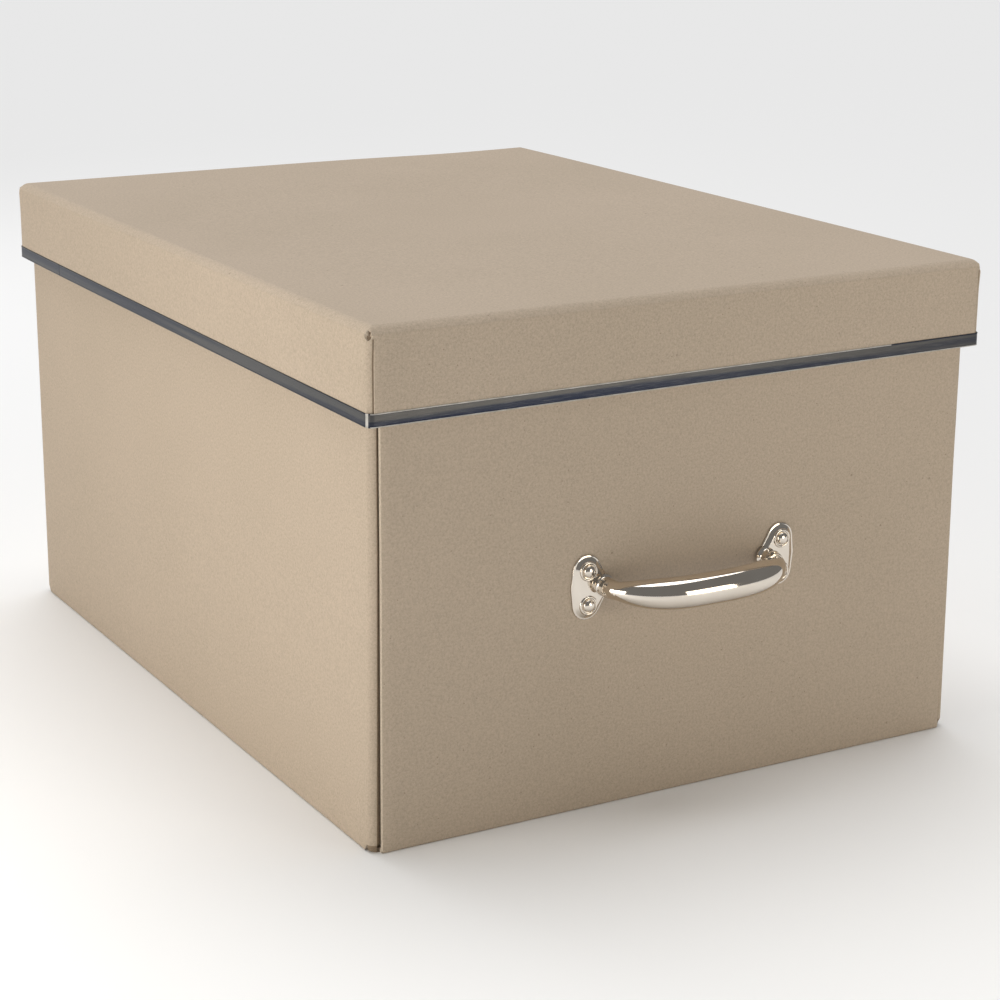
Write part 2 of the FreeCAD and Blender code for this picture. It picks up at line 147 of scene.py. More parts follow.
def add_bump(nodes, links, height, distance, strength=1.0, under=None):
    bump = nodes.new("ShaderNodeBump")
    bump.inputs["Strength"].default_value = strength
    bump.inputs["Distance"].default_value = distance
    links.new(height, bump.inputs["Height"])
    if under is not None:
        links.new(under, bump.inputs["Normal"])
    return bump.outputs["Normal"]


def kraft_material(name, tone, mottle=1.0, fibre=1.0):
    """Uncoated recycled board: a felted mottle, short fibres, cloudy large patches and a few
    dark specks, over a matt, slightly rough face."""
    material, nodes, links, shader = new_material(name)
    place = nodes.new("ShaderNodeTexCoord").outputs["Object"]
    cloud = add_noise(nodes, links, place, 9.0, 3.0, 0.5)
    felt = add_noise(nodes, links, place, 760.0, 5.0, 0.66)
    flock = add_noise(nodes, links, place, 2100.0, 3.0, 0.6)
    fibres = []
    for turn, stretch in (
        ((0.3, 0.5, 0.2), (1.0, 0.16, 0.2)),
        ((1.1, 0.2, 1.9), (0.18, 1.0, 0.16)),
        ((0.4, 1.4, 0.9), (0.2, 0.17, 1.0)),
    ):
        stretched = add_stretch(nodes, links, place, turn, stretch)
        fibres.append(add_noise(nodes, links, stretched, 2100.0, 2.0, 0.5, 0.6).outputs["Fac"])
    woven = add_math(nodes, links, "MAXIMUM", fibres[0], fibres[1])
    woven = add_math(nodes, links, "MAXIMUM", woven, fibres[2])
    light = tuple(min(channel * 1.12, 1.0) for channel in tone)
    dark = tuple(channel * 0.84 for channel in tone)
    colour = add_ramp(nodes, links, felt.outputs["Fac"], [(0.3, dark), (0.52, tone), (0.74, light)])
    clouds = add_ramp(
        nodes, links, cloud.outputs["Fac"], [(0.3, (0.975, 0.975, 0.965)), (0.7, (1.02, 1.018, 1.015))]
    )
    colour = add_mix(nodes, links, "MULTIPLY", 1.0, colour, clouds)
    flecks = add_ramp(nodes, links, flock.outputs["Fac"], [(0.32, grey(0.86)), (0.6, grey(1.0))])
    colour = add_mix(nodes, links, "MULTIPLY", mottle, colour, flecks)
    strands = add_ramp(nodes, links, woven, [(0.62, grey(0.0)), (0.76, grey(1.0))])
    pale = tuple(min(channel * 1.16, 1.0) for channel in tone)
    strand_share = add_math(nodes, links, "MULTIPLY", strands, 0.3 * fibre)
    colour = add_mix(nodes, links, "MIX", strand_share, colour, pale)
    for scale, reach, share, speck in (
        (260.0, 0.115, 0.5, (0.17, 0.12, 0.08)),
        (90.0, 0.075, 0.42, (0.13, 0.095, 0.065)),
        (420.0, 0.15, 0.34, (0.30, 0.22, 0.15)),
    ):
        cells = nodes.new("ShaderNodeTexVoronoi")
        cells.inputs["Scale"].default_value = scale
        cells.inputs["Randomness"].default_value = 1.0
        links.new(place, cells.inputs["Vector"])
        near = add_ramp(
            nodes, links, cells.outputs["Distance"], [(reach * 0.6, grey(1.0)), (reach, grey(0.0))]
        )
        chosen = nodes.new("ShaderNodeSeparateColor")
        links.new(cells.outputs["Color"], chosen.inputs["Color"])
        rare = add_math(nodes, links, "GREATER_THAN", chosen.outputs["Red"], 0.82)
        amount = add_math(nodes, links, "MULTIPLY", near, rare)
        amount = add_math(nodes, links, "MULTIPLY", amount, share)
        colour = add_mix(nodes, links, "MIX", amount, colour, speck)
    links.new(colour, shader.inputs["Base Color"])
    rough = add_ramp(nodes, links, felt.outputs["Fac"], [(0.3, grey(0.82)), (0.7, grey(0.94))])
    links.new(rough, shader.inputs["Roughness"])
    shader.inputs["Specular IOR Level"].default_value = 0.22
    coarse = add_bump(nodes, links, felt.outputs["Fac"], 0.10 * MM, 0.55)
    fine = add_bump(nodes, links, woven, 0.05 * MM, 0.6, coarse)
    links.new(fine, shader.inputs["Normal"])
    return material


def board_edge_material(name, tone):
    """A knife-cut edge of the board: plies and torn fibres show. In a dark tone the same material is also
    used as painted shade in seams and holes.
    """
    material, nodes, links, shader = new_material(name)
    place = nodes.new("ShaderNodeTexCoord").outputs["Object"]
    torn = add_noise(nodes, links, place, 900.0, 4.0, 0.65)
    grain = add_noise(nodes, links, place, 3200.0, 3.0, 0.6)
    dark = tuple(channel * 0.8 for channel in tone)
    light = tuple(min(channel * 1.12, 1.0) for channel in tone)
    colour = add_ramp(nodes, links, torn.outputs["Fac"], [(0.32, dark), (0.55, tone), (0.75, light)])
    links.new(colour, shader.inputs["Base Color"])
    rough = add_ramp(nodes, links, grain.outputs["Fac"], [(0.3, grey(0.9)), (0.7, grey(0.98))])
    links.new(rough, shader.inputs["Roughness"])
    shader.inputs["Specular IOR Level"].default_value = 0.15
    coarse = add_bump(nodes, links, torn.outputs["Fac"], 0.18 * MM, 0.8)
    links.new(add_bump(nodes, links, grain.outputs["Fac"], 0.08 * MM, 0.7, coarse), shader.inputs["Normal"])
    return material


def polished_nickel_material(name):
    """Mirror-bright nickel plate with faint cloudiness, buffing lines and a little tarnish."""
    material, nodes, links, shader = new_material(name)
    place = nodes.new("ShaderNodeTexCoord").outputs["Object"]
    haze = add_noise(nodes, links, place, 55.0, 3.0, 0.5)
    pits = add_noise(nodes, links, place, 2600.0, 2.0, 0.5)
    lines = add_noise(
        nodes, links, add_stretch(nodes, links, place, (0.0, 0.0, 0.0), (0.06, 1.0, 1.0)), 2400.0, 2.0, 0.5
    )
    colour = add_ramp(
        nodes, links, haze.outputs["Fac"], [(0.3, (0.69, 0.625, 0.545)), (0.7, (0.75, 0.69, 0.615))]
    )
    links.new(colour, shader.inputs["Base Color"])
    shader.inputs["Metallic"].default_value = 1.0
    rough = add_ramp(nodes, links, haze.outputs["Fac"], [(0.3, grey(0.045)), (0.75, grey(0.095))])
    links.new(rough, shader.inputs["Roughness"])
    soft = add_bump(nodes, links, pits.outputs["Fac"], 0.004 * MM, 0.4)
    links.new(add_bump(nodes, links, lines.outputs["Fac"], 0.003 * MM, 0.3, soft), shader.inputs["Normal"])
    return material


def strip_material(name):
    """Dark blued steel strip: lengthwise rolling streaks, scuffs and a patchy blue-grey bloom.
    The UV map runs along the strip in metres, and across it from 0 to 1."""
    material, nodes, links, shader = new_material(name)
    along = nodes.new("ShaderNodeTexCoord").outputs["UV"]
    streaks = add_noise(
        nodes, links, add_stretch(nodes, links, along, (0, 0, 0), (16.0, 26.0, 1.0)), 5.0, 6.0, 0.65
    )
    scuffs = add_noise(
        nodes, links, add_stretch(nodes, links, along, (0, 0, 0), (110.0, 40.0, 1.0)), 5.0, 5.0, 0.7, 0.4
    )
    bands = add_noise(
        nodes, links, add_stretch(nodes, links, along, (0, 0, 0), (2.2, 5.5, 1.0)), 1.7, 2.0, 0.45
    )
    body = add_ramp(
        nodes,
        links,
        bands.outputs["Fac"],
        [(0.34, (0.017, 0.022, 0.040)), (0.48, (0.036, 0.040, 0.054)), (0.62, (0.084, 0.082, 0.080))],
    )
    worn = add_ramp(nodes, links, streaks.outputs["Fac"], [(0.5, grey(0.0)), (0.74, grey(1.0))])
    marks = add_ramp(nodes, links, scuffs.outputs["Fac"], [(0.6, grey(0.0)), (0.74, grey(1.0))])
    share = add_math(nodes, links, "MULTIPLY", worn, 0.35)
    colour = add_mix(nodes, links, "MIX", share, body, (0.22, 0.215, 0.22))
    mark_share = add_math(nodes, links, "MULTIPLY", marks, 0.22)
    colour = add_mix(nodes, links, "MIX", mark_share, colour, (0.36, 0.35, 0.35))
    links.new(colour, shader.inputs["Base Color"])
    shader.inputs["Metallic"].default_value = 1.0
    rough = add_ramp(nodes, links, streaks.outputs["Fac"], [(0.3, grey(0.24)), (0.7, grey(0.42))])
    links.new(rough, shader.inputs["Roughness"])
    links.new(add_bump(nodes, links, scuffs.outputs["Fac"], 0.02 * MM, 0.5), shader.inputs["Normal"])
    return material


def bright_metal_material(name, low, high, roughness, metal=1.0):
    """Bare or zinc-coated steel, brushed and slightly stained, or worn dull."""
    material, nodes, links, shader = new_material(name)
    place = nodes.new("ShaderNodeTexCoord").outputs["Object"]
    stain = add_noise(nodes, links, place, 140.0, 4.0, 0.6)
    grain = add_noise(nodes, links, place, 1900.0, 2.0, 0.5)
    colour = add_ramp(nodes, links, stain.outputs["Fac"], [(0.3, low), (0.7, high)])
    links.new(colour, shader.inputs["Base Color"])
    shader.inputs["Metallic"].default_value = metal
    spread = [(0.3, grey(roughness * 0.8)), (0.7, grey(roughness * 1.2))]
    links.new(add_ramp(nodes, links, grain.outputs["Fac"], spread), shader.inputs["Roughness"])
    links.new(add_bump(nodes, links, grain.outputs["Fac"], 0.01 * MM, 0.4), shader.inputs["Normal"])
    return material


KRAFT_TONE = (0.535, 0.440, 0.345)
KRAFT = kraft_material("kraft_board_face", KRAFT_TONE)
KRAFT_EDGE = board_edge_material("kraft_board_edge", (0.60, 0.51, 0.41))
# seam_shade is painted shade: a dark board tone on the flap faces behind the seams, the notches under the
# bottom folds, the lid's corner seams and the floors of the corner holes, where only shade falls.
SEAM_SHADE = board_edge_material("seam_shade", (0.27, 0.205, 0.145))
INSERT_FACE = kraft_material("insert_board_face", (0.50, 0.42, 0.34), 1.0, 1.3)
NICKEL = polished_nickel_material("polished_nickel")
STRIP = strip_material("dark_strip")
# The strip's brighter lip tone: on the lips at the lid's ends it is partly wear and partly painted
# highlight, on part of each bend a painted highlight.
STRIP_WEAR_AND_HIGHLIGHT = bright_metal_material("strip_wear_and_highlight", (0.30, 0.29, 0.27), (0.54, 0.52, 0.50), 0.42, 0.25)
ZINC = bright_metal_material("zinc_plate", (0.50, 0.50, 0.49), (0.66, 0.66, 0.64), 0.34)

# ---------------------------------------------------------------- mesh helpers


def lay_out(low, high, pitch):
    """Evenly spaced levels from low to high, no further apart than pitch."""
    count = max(1, math.ceil(abs(high - low) / pitch - 1e-9))
    return [low + (high - low) * step / count for step in range(count + 1)]


def joined_levels(*stretches):
    """One list of levels from stretches that meet end to end."""
    levels = [stretches[0][0]]
    for stretch in stretches:
        levels += stretch[1:]
    return levels


def finish_mesh(name, mesh_tool, materials):
    """A new piece from the mesh tool, which is then closed."""
    bmesh.ops.remove_doubles(mesh_tool, verts=mesh_tool.verts, dist=1e-6)
    mesh = bpy.data.meshes.new(name)
    mesh_tool.to_mesh(mesh)
    mesh_tool.free()
    for material in materials:
        mesh.materials.append(material)
    piece = bpy.data.objects.new(name, mesh)
    bpy.context.scene.collection.objects.link(piece)
    return piece


def apply_modifiers(piece):
    """The piece's mesh as its modifiers leave it, with none left on it."""
    graph = bpy.context.evaluated_depsgraph_get()
    mesh = bpy.data.meshes.new_from_object(piece.evaluated_get(graph))
    piece.modifiers.clear()
    old = piece.data
    piece.data = mesh
    bpy.data.meshes.remove(old)


def shade(piece, angle):
    """Smooth shading, with edges sharper than angle (in degrees) left crisp."""
    piece.data.shade_smooth()
    piece.data.set_sharp_from_angle(angle=math.radians(angle))


ARRIS = 0.35 * MM


def to_board(piece, thickness=BOARD, arris=ARRIS):
    """Gives a skin the board's thickness on its inner side, with softened cut edges."""
    solid = piece.modifiers.new("thickness", "SOLIDIFY")
    solid.thickness = thickness
    solid.offset = -1.0
    solid.use_even_offset = True
    solid.material_offset_rim = 1
    soften = piece.modifiers.new("arris", "BEVEL")
    soften.width = arris
    soften.segments = 2
    soften.limit_method = "ANGLE"
    soften.angle_limit = math.radians(55)
    soften.harden_normals = False
    apply_modifiers(piece)
    shade(piece, 50.0)


def ripple(point, amount, scale, seed):
    """Board is never quite flat: a smooth rise and fall of up to amount."""
    return amount * noise.noise(point * scale + Vector((seed, seed * 1.7, seed * 0.3)))


class Skin:
    """A surface made of patches. Each patch is a grid of points, and a cell is left out where
    keep says so, which is how notches and free edges come about."""

    def __init__(self):
        self.tool = bmesh.new()

    def patch(self, columns, rows, place, keep=None, flip=False, shaded=None):
        points = {}
        for i in range(columns):
            for j in range(rows):
                points[i, j] = self.tool.verts.new(place(i, j))
        for i in range(columns - 1):
            for j in range(rows - 1):
                if keep is not None and not keep(i, j):
                    continue
                corners = [points[i, j], points[i + 1, j], points[i + 1, j + 1], points[i, j + 1]]
                if flip:
                    corners.reverse()
                face = self.tool.faces.new(corners)
                # Cells that shaded picks take the third material, a dark tone that is painted shade.
                if shaded is not None and shaded(i, j):
                    face.material_index = 2
        loose = [vert for vert in points.values() if not vert.link_faces]
        bmesh.ops.delete(self.tool, geom=loose, context="VERTS")


def own(piece, body, nodes):
    """Says what the piece moves with and the CAD nodes it stands for."""
    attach(piece, body)
    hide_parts(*nodes)
    return piece


# ---------------------------------------------------------------- base tray

PITCH = 7 * MM
ARC_STEPS = 8
NOTCH_RUN = 2.6 * MM
NOTCH_DEPTH = 0.9 * MM
SEAM_DIP = 1.0 * MM
TAB_MIDDLE = 105 * MM
TAB_HALF = 22 * MM
END_ARRIS = 0.6 * MM
SIDE_RIPPLE = 0.9 * MM
END_RIPPLE = 0.7 * MM
SPLAY_MIDDLE = 0.6
SPLAY_LEAN = 0.4
END_SPLAY = 0.35
TINY = 1e-7


def quarter(step, steps=ARC_STEPS):
    """Sine and cosine part of the way through a quarter turn."""
    angle = math.pi / 2 * step / steps
    return math.sin(angle), math.cos(angle)


def crevice(depth):
    """How the flap dips behind the end panel's edge: (distance past the fold, depth)."""
    shares = ((0.5, 0.25), (1.1, 0.7), (2.0, 1.0), (3.6, 0.75), (6.5, 0.3), (12.0, 0.0))
    return [(past * MM, share * depth) for past, share in shares]


def corner_path(half_x, half_y, flap_x, y_steps, dip):
    """Plan of a side wall, from the front flap's end to the rear flap's end, for the right
    side. Each point is (x, y, part), where part says flap, seam, fold or panel."""
    flap_y = half_y - BOARD
    fold_x = half_x - FOLD
    seam = [(fold_x - past, flap_y - depth, "seam") for past, depth in crevice(dip)]
    flat = [(x, flap_y, "flap") for x in lay_out(flap_x, seam[-1][0], PITCH)[:-1]]
    arc = []
    for step in range(ARC_STEPS + 1):
        sine, cosine = quarter(step)
        arc.append((fold_x + FOLD * sine, flap_y - FOLD + FOLD * cosine, "fold"))
    half = flat + seam[::-1] + arc[:-1]
    front = [(x, -y, part) for x, y, part in half]
    return front + [(half_x, y, "panel") for y in y_steps] + half[::-1]


def side_wall(side, name, nodes):
    """A long wall with its bottom fold, its two upright folds and its end flaps."""
    y_reach = BASE_Y - BOARD - FOLD
    plan = corner_path(BASE_X, BASE_Y, FLAP_X, lay_out(-y_reach, y_reach, PITCH), SEAM_DIP)
    section = [(FOLD, 0.0)]
    for step in range(ARC_STEPS):
        sine, cosine = quarter(step)
        section.append((BOTTOM_FOLD - BOTTOM_FOLD * sine, BOTTOM_FOLD - BOTTOM_FOLD * cosine))
    levels = joined_levels(
        [BOTTOM_FOLD, RELIEF], lay_out(RELIEF, FLAP_TOP, PITCH), [FLAP_TOP, RIM]
    )
    section += [(0.0, level) for level in levels]
    skin = Skin()

    def place(i, j):
        x, y, part = plan[i]
        inward, z = section[j]
        towards_front = SPLAY_MIDDLE - SPLAY_LEAN * y / BASE_Y
        outward = SPLAY * towards_front * max(0.0, 1.0 - z / SPLAY_TOP) * (1.0 - inward / FOLD)
        point = Vector((x - inward + outward, y, z))
        if part == "panel":
            edge = min(z / RIM, 1.0) * (1.0 - abs(y) / BASE_Y)
            point.x += ripple(point, SIDE_RIPPLE * edge, 5.0, 3.0 + side)
            point.y *= 1.0 - NOTCH_RUN / y_reach * max(0.0, 1.0 - z / RELIEF)
        elif part == "fold" and z < RELIEF - TINY:
            point.x -= NOTCH_DEPTH
            point.y -= math.copysign(NOTCH_DEPTH, y)
        return Vector((side * point.x, point.y, point.z))

    def keep(i, j):
        part = plan[i][2] if plan[i][2] == plan[i + 1][2] else "fold"
        low = section[j][1]
        if part == "panel" or plan[i][2] == plan[i + 1][2] == "fold":
            return True
        if low < RELIEF - TINY:
            return False
        return part == "fold" or low < FLAP_TOP - TINY

    # Painted shade: the flap faces behind the end panel's edge and the notch under the bottom fold take the
    # dark seam_shade tone.
    def shaded(i, j):
        behind = {"seam", "flap"} & {plan[i][2], plan[i + 1][2]}
        return bool(behind) or (plan[i][2] != "panel" and section[j][1] < RELIEF - TINY)

    skin.patch(len(plan), len(section), place, keep, flip=side < 0, shaded=shaded)
    piece = finish_mesh(name, skin.tool, [KRAFT, KRAFT_EDGE, SEAM_SHADE])
    to_board(piece)
    return own(piece, "base", nodes)


def end_wall(end, name, nodes):
    """A short wall: outer panel, roll over the rim, and inner panel with its locking tabs."""
    bend = RIM - RIM_FOLD
    inner_y = BASE_Y - 3 * BOARD
    section = []
    for step in range(ARC_STEPS):
        sine, cosine = quarter(step)
        section.append((BASE_Y - BOTTOM_FOLD * (1 - sine), BOTTOM_FOLD * (1 - cosine)))
    section.insert(0, (BASE_Y - FOLD, 0.0))
    section += [(BASE_Y, level) for level in lay_out(BOTTOM_FOLD, bend, PITCH)]
    for step in range(1, ARC_STEPS + 1):
        sine, cosine = quarter(step)
        section.append((BASE_Y - RIM_FOLD + RIM_FOLD * cosine, bend + RIM_FOLD * sine))
    for step in range(ARC_STEPS - 1, -1, -1):
        sine, cosine = quarter(step)
        section.append((inner_y + RIM_FOLD - RIM_FOLD * cosine, bend + RIM_FOLD * sine))
    section += [(inner_y, level) for level in lay_out(bend, BOARD, PITCH)[1:]]
    section.append((inner_y, TAB_BOTTOM))
    last = len(section) - 2
    tab_outer = TAB_MIDDLE + TAB_HALF
    tab_inner = TAB_MIDDLE - TAB_HALF
    edges = joined_levels(
        lay_out(-END_X, -tab_outer, PITCH),
        lay_out(-tab_outer, -tab_inner, PITCH),
        lay_out(-tab_inner, tab_inner, PITCH),
        lay_out(tab_inner, tab_outer, PITCH),
        lay_out(tab_outer, END_X, PITCH),
    )
    skin = Skin()

    def place(i, j):
        y, z = section[j]
        x = edges[i]
        point = Vector((x, y, z))
        if j <= len(section) // 2:
            middle = max(0.0, 1.0 - abs(x) / END_X) * math.sin(math.pi * min(z / RIM, 1.0))
            point.y += ripple(point, END_RIPPLE * middle, 6.0, 11.0 + end)
        spread = 1.0
        if j <= len(section) // 2:
            spread += END_SPLAY * SPLAY / END_X * max(0.0, 1.0 - z / SPLAY_TOP)
        return Vector((x * spread, end * point.y, z))

    def keep(i, j):
        if j < last:
            return True
        middle = abs(edges[i] + edges[i + 1]) / 2
        return tab_inner < middle < tab_outer

    skin.patch(len(edges), len(section), place, keep, flip=end > 0)
    piece = finish_mesh(name, skin.tool, [KRAFT, KRAFT_EDGE])
    to_board(piece, arris=END_ARRIS)
    return own(piece, "base", nodes)


for side, side_name in ((-1, "left"), (1, "right")):
    side_wall(
        side,
        f"{side_name}_wall_board",
        [f"{side_name}_wall", f"front_{side_name}_flap", f"rear_{side_name}_flap"],
    )
for end, end_name in ((-1, "front"), (1, "rear")):
    end_wall(
        end,
        f"{end_name}_wall_board",
        [f"{end_name}_wall_outer", f"{end_name}_wall_inner"],
    )


INSERT_RIPPLE = 0.25 * MM
INSERT_ARRIS = 0.25 * MM


def insert_board():
    """The loose lining board, slightly uneven, lying on the floor of the tray."""
    skin = Skin()
    columns = lay_out(INSERT_LOW.x, INSERT_HIGH.x, 2 * PITCH)
    rows = lay_out(INSERT_LOW.y, INSERT_HIGH.y, 2 * PITCH)

    def place(i, j):
        flat = Vector((columns[i], rows[j], INSERT_HIGH.z))
        return flat + Vector((0, 0, abs(ripple(flat, INSERT_RIPPLE, 7.0, 21.0))))

    skin.patch(len(columns), len(rows), place)
    piece = finish_mesh("floor_insert_board", skin.tool, [INSERT_FACE, KRAFT_EDGE])
    to_board(piece, INSERT_HIGH.z - INSERT_LOW.z, INSERT_ARRIS)
    return own(piece, "base", ["floor_insert"])


insert_board()
for node_name, face in (("base_floor", KRAFT), ("rivet_washers", ZINC)):
    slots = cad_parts[node_name].data.materials
    slots.clear()
    slots.append(face)

# ---------------------------------------------------------------- lid

LID_FOLD_OUT = 6.2 * MM
LID_FOLD_DROP = 4.4 * MM
CORNER_ROUND = 3.4 * MM
SETBACK = 0.7 * MM
SLIT = 3.0 * MM
HOLE_TURN = math.radians(37)
HOLE_DROP = 4.4 * MM
HOLE_RADIUS = 2.3 * MM
HOLE_REACH = 3.0 * MM
HOLE_FLOOR = 2.0 * MM
PULL = 1.3 * MM
REAR_SAG = 1.0 * MM
REAR_SAG_X = 0.13
REAR_SAG_RUN = 0.06
SETTLE = 15 * MM
FOLD_LEAN = math.radians(40)
FOLD_ROLL = 6.4
FOLD_FACET = 1.6
FOLD_CREASE = 0.9
TOP_DISH = 1.1 * MM
TOP_RIPPLE = 0.5 * MM
CORNER_STEPS = 24
FLAP_GAP = 0.2 * MM


def lid_fold():
    """The top fold's section, from the flat top outwards: (out, drop). A soft roll, then a
    short slanting facet, and a tight crease where the apron begins. It is drawn in proportion
    and then brought to the fold's real reach and drop."""
    lean, crease = FOLD_LEAN, FOLD_CREASE
    points = []
    for step in range(7):
        angle = lean * step / 6
        points.append((FOLD_ROLL * math.sin(angle), FOLD_ROLL * (1 - math.cos(angle))))
    out, drop = points[-1]
    out += FOLD_FACET * math.cos(lean)
    drop += FOLD_FACET * math.sin(lean)
    for step in range(5):
        angle = lean + (math.pi / 2 - lean) * step / 4
        points.append(
            (
                out + crease * (math.sin(angle) - math.sin(lean)),
                drop + crease * (math.cos(lean) - math.cos(angle)),
            )
        )
    wide, deep = points[-1]
    return [(o / wide * LID_FOLD_OUT, d / deep * LID_FOLD_DROP) for o, d in points]


def lid_levels():
    """Levels down an apron, from the end of the top fold to the rim."""
    start = LID_TOP - LID_FOLD_DROP
    return joined_levels(
        lay_out(start, start - SETTLE, 0.5 * MM),
        lay_out(start - SETTLE, LID_FLAP_BOTTOM, PITCH),
        [LID_FLAP_BOTTOM, APRON_BOTTOM],
    )


def lid_board():
    """The whole lid blank: top, four folds, four aprons, crushed corners and corner flaps."""
    skin = Skin()
    levels, fold = lid_levels(), lid_fold()
    flat_x, flat_y = LID_X - LID_FOLD_OUT, LID_Y - LID_FOLD_OUT

    def path(flat, stops):
        """Points across the lid: (distance from the middle, drop, kind of place)."""
        outer = [(flat + LID_FOLD_OUT, LID_TOP - level, "apron") for level in levels[:0:-1]]
        outer += [(flat + out, drop, "fold") for out, drop in fold[:0:-1]]
        near = [(-distance, drop, kind) for distance, drop, kind in outer]
        return near + [(stop, 0.0, "top") for stop in stops] + outer[::-1]

    inner_y = flat_y - SETBACK
    across = path(flat_x, lay_out(-flat_x, flat_x, PITCH))
    along = path(flat_y, [-flat_y] + lay_out(-inner_y, inner_y, PITCH) + [flat_y])

    def stretched(value, flat, out):
        """Folds and aprons run on a little past the flat top, to meet the corner's curve."""
        return value * (flat + out - corner_round(out)) / flat

    def place(i, j):
        x, drop_x, kind_x = across[i]
        y, drop_y, kind_y = along[j]
        if kind_x == "top" and kind_y != "top":
            x = stretched(x, flat_x, abs(y) - flat_y)
        elif kind_y == "top" and kind_x != "top":
            y = stretched(y, flat_y, abs(x) - flat_x)
        point = Vector((x, y, LID_TOP - drop_x - drop_y))
        inside = (1 - min(abs(x) / LID_X, 1.0) ** 2) * (1 - min(abs(y) / LID_Y, 1.0) ** 2)
        if drop_x == 0.0 and drop_y == 0.0:
            point.z -= TOP_DISH * inside
            point.z += ripple(point, TOP_RIPPLE * inside, 5.0, 31.0)
        return relaxed(point)

    def keep(i, j):
        kinds_x = {across[i][2], across[i + 1][2]}
        kinds_y = {along[j][2], along[j + 1][2]}
        if "apron" in kinds_x:
            return kinds_y == {"top"} and abs(along[j][0] + along[j + 1][0]) / 2 < inner_y
        return kinds_x == {"top"} or kinds_y == {"top"}

    skin.patch(len(across), len(along), place, keep)
    for side in (-1, 1):
        for end in (-1, 1):
            lid_corner(skin, side, end, levels, fold)
    for side in (-1, 1):
        for end in (-1, 1):
            round_hole(skin.tool, side, end)
    piece = finish_mesh("lid_board", skin.tool, [KRAFT, KRAFT_EDGE, SEAM_SHADE])
    to_board(piece)
    nodes = ["lid_top"] + [f"lid_{name}_apron" for name in ("left", "right", "front", "rear")]
    nodes += [f"lid_{end}_{side}_flap" for end in ("front", "rear") for side in ("left", "right")]
    return own(piece, "lid", nodes)


def corner_round(out):
    """The corner's radius in plan, which grows from nothing at the flat top to the full
    radius where the aprons begin."""
    return CORNER_ROUND * min(out / LID_FOLD_OUT, 1.0)


def pulled(x, y):
    """One front corner of the lid is squeezed slightly in."""
    return x - PULL * max(x / LID_X, 0.0) ** 2 * max(-y / LID_Y, 0.0) ** 4


def relaxed(point):
    """The rear edge of the lid sags slightly towards one end, and a front corner is squeezed."""
    share = max(point.y / LID_Y, 0.0) ** 6
    height = max((point.z - APRON_BOTTOM) / (LID_TOP - APRON_BOTTOM), 0.0)
    dip = math.exp(-(((point.x - REAR_SAG_X) / REAR_SAG_RUN) ** 2))
    return Vector((pulled(point.x, point.y), point.y, point.z - REAR_SAG * dip * share * height))


def hole_centre(side, end):
    """The middle of the small hole left at a corner, just under the top fold."""
    return relaxed(
        Vector(
            (
                side * (LID_X - CORNER_ROUND + CORNER_ROUND * math.cos(HOLE_TURN)),
                end * (LID_Y - CORNER_ROUND + CORNER_ROUND * math.sin(HOLE_TURN)),
                LID_TOP - HOLE_DROP,
            )
        )
    )


def round_hole(tool, side, end):
    """Draws the ragged edge of a corner's relief hole onto a circle."""
    centre = hole_centre(side, end)
    tool.verts.ensure_lookup_table()
    bmesh.ops.remove_doubles(tool, verts=tool.verts, dist=1e-6)
    for vert in tool.verts:
        away = vert.co - centre
        if vert.is_boundary and away.length < HOLE_REACH and vert.co.z > centre.z - HOLE_RADIUS:
            vert.co = centre + away.normalized() * HOLE_RADIUS


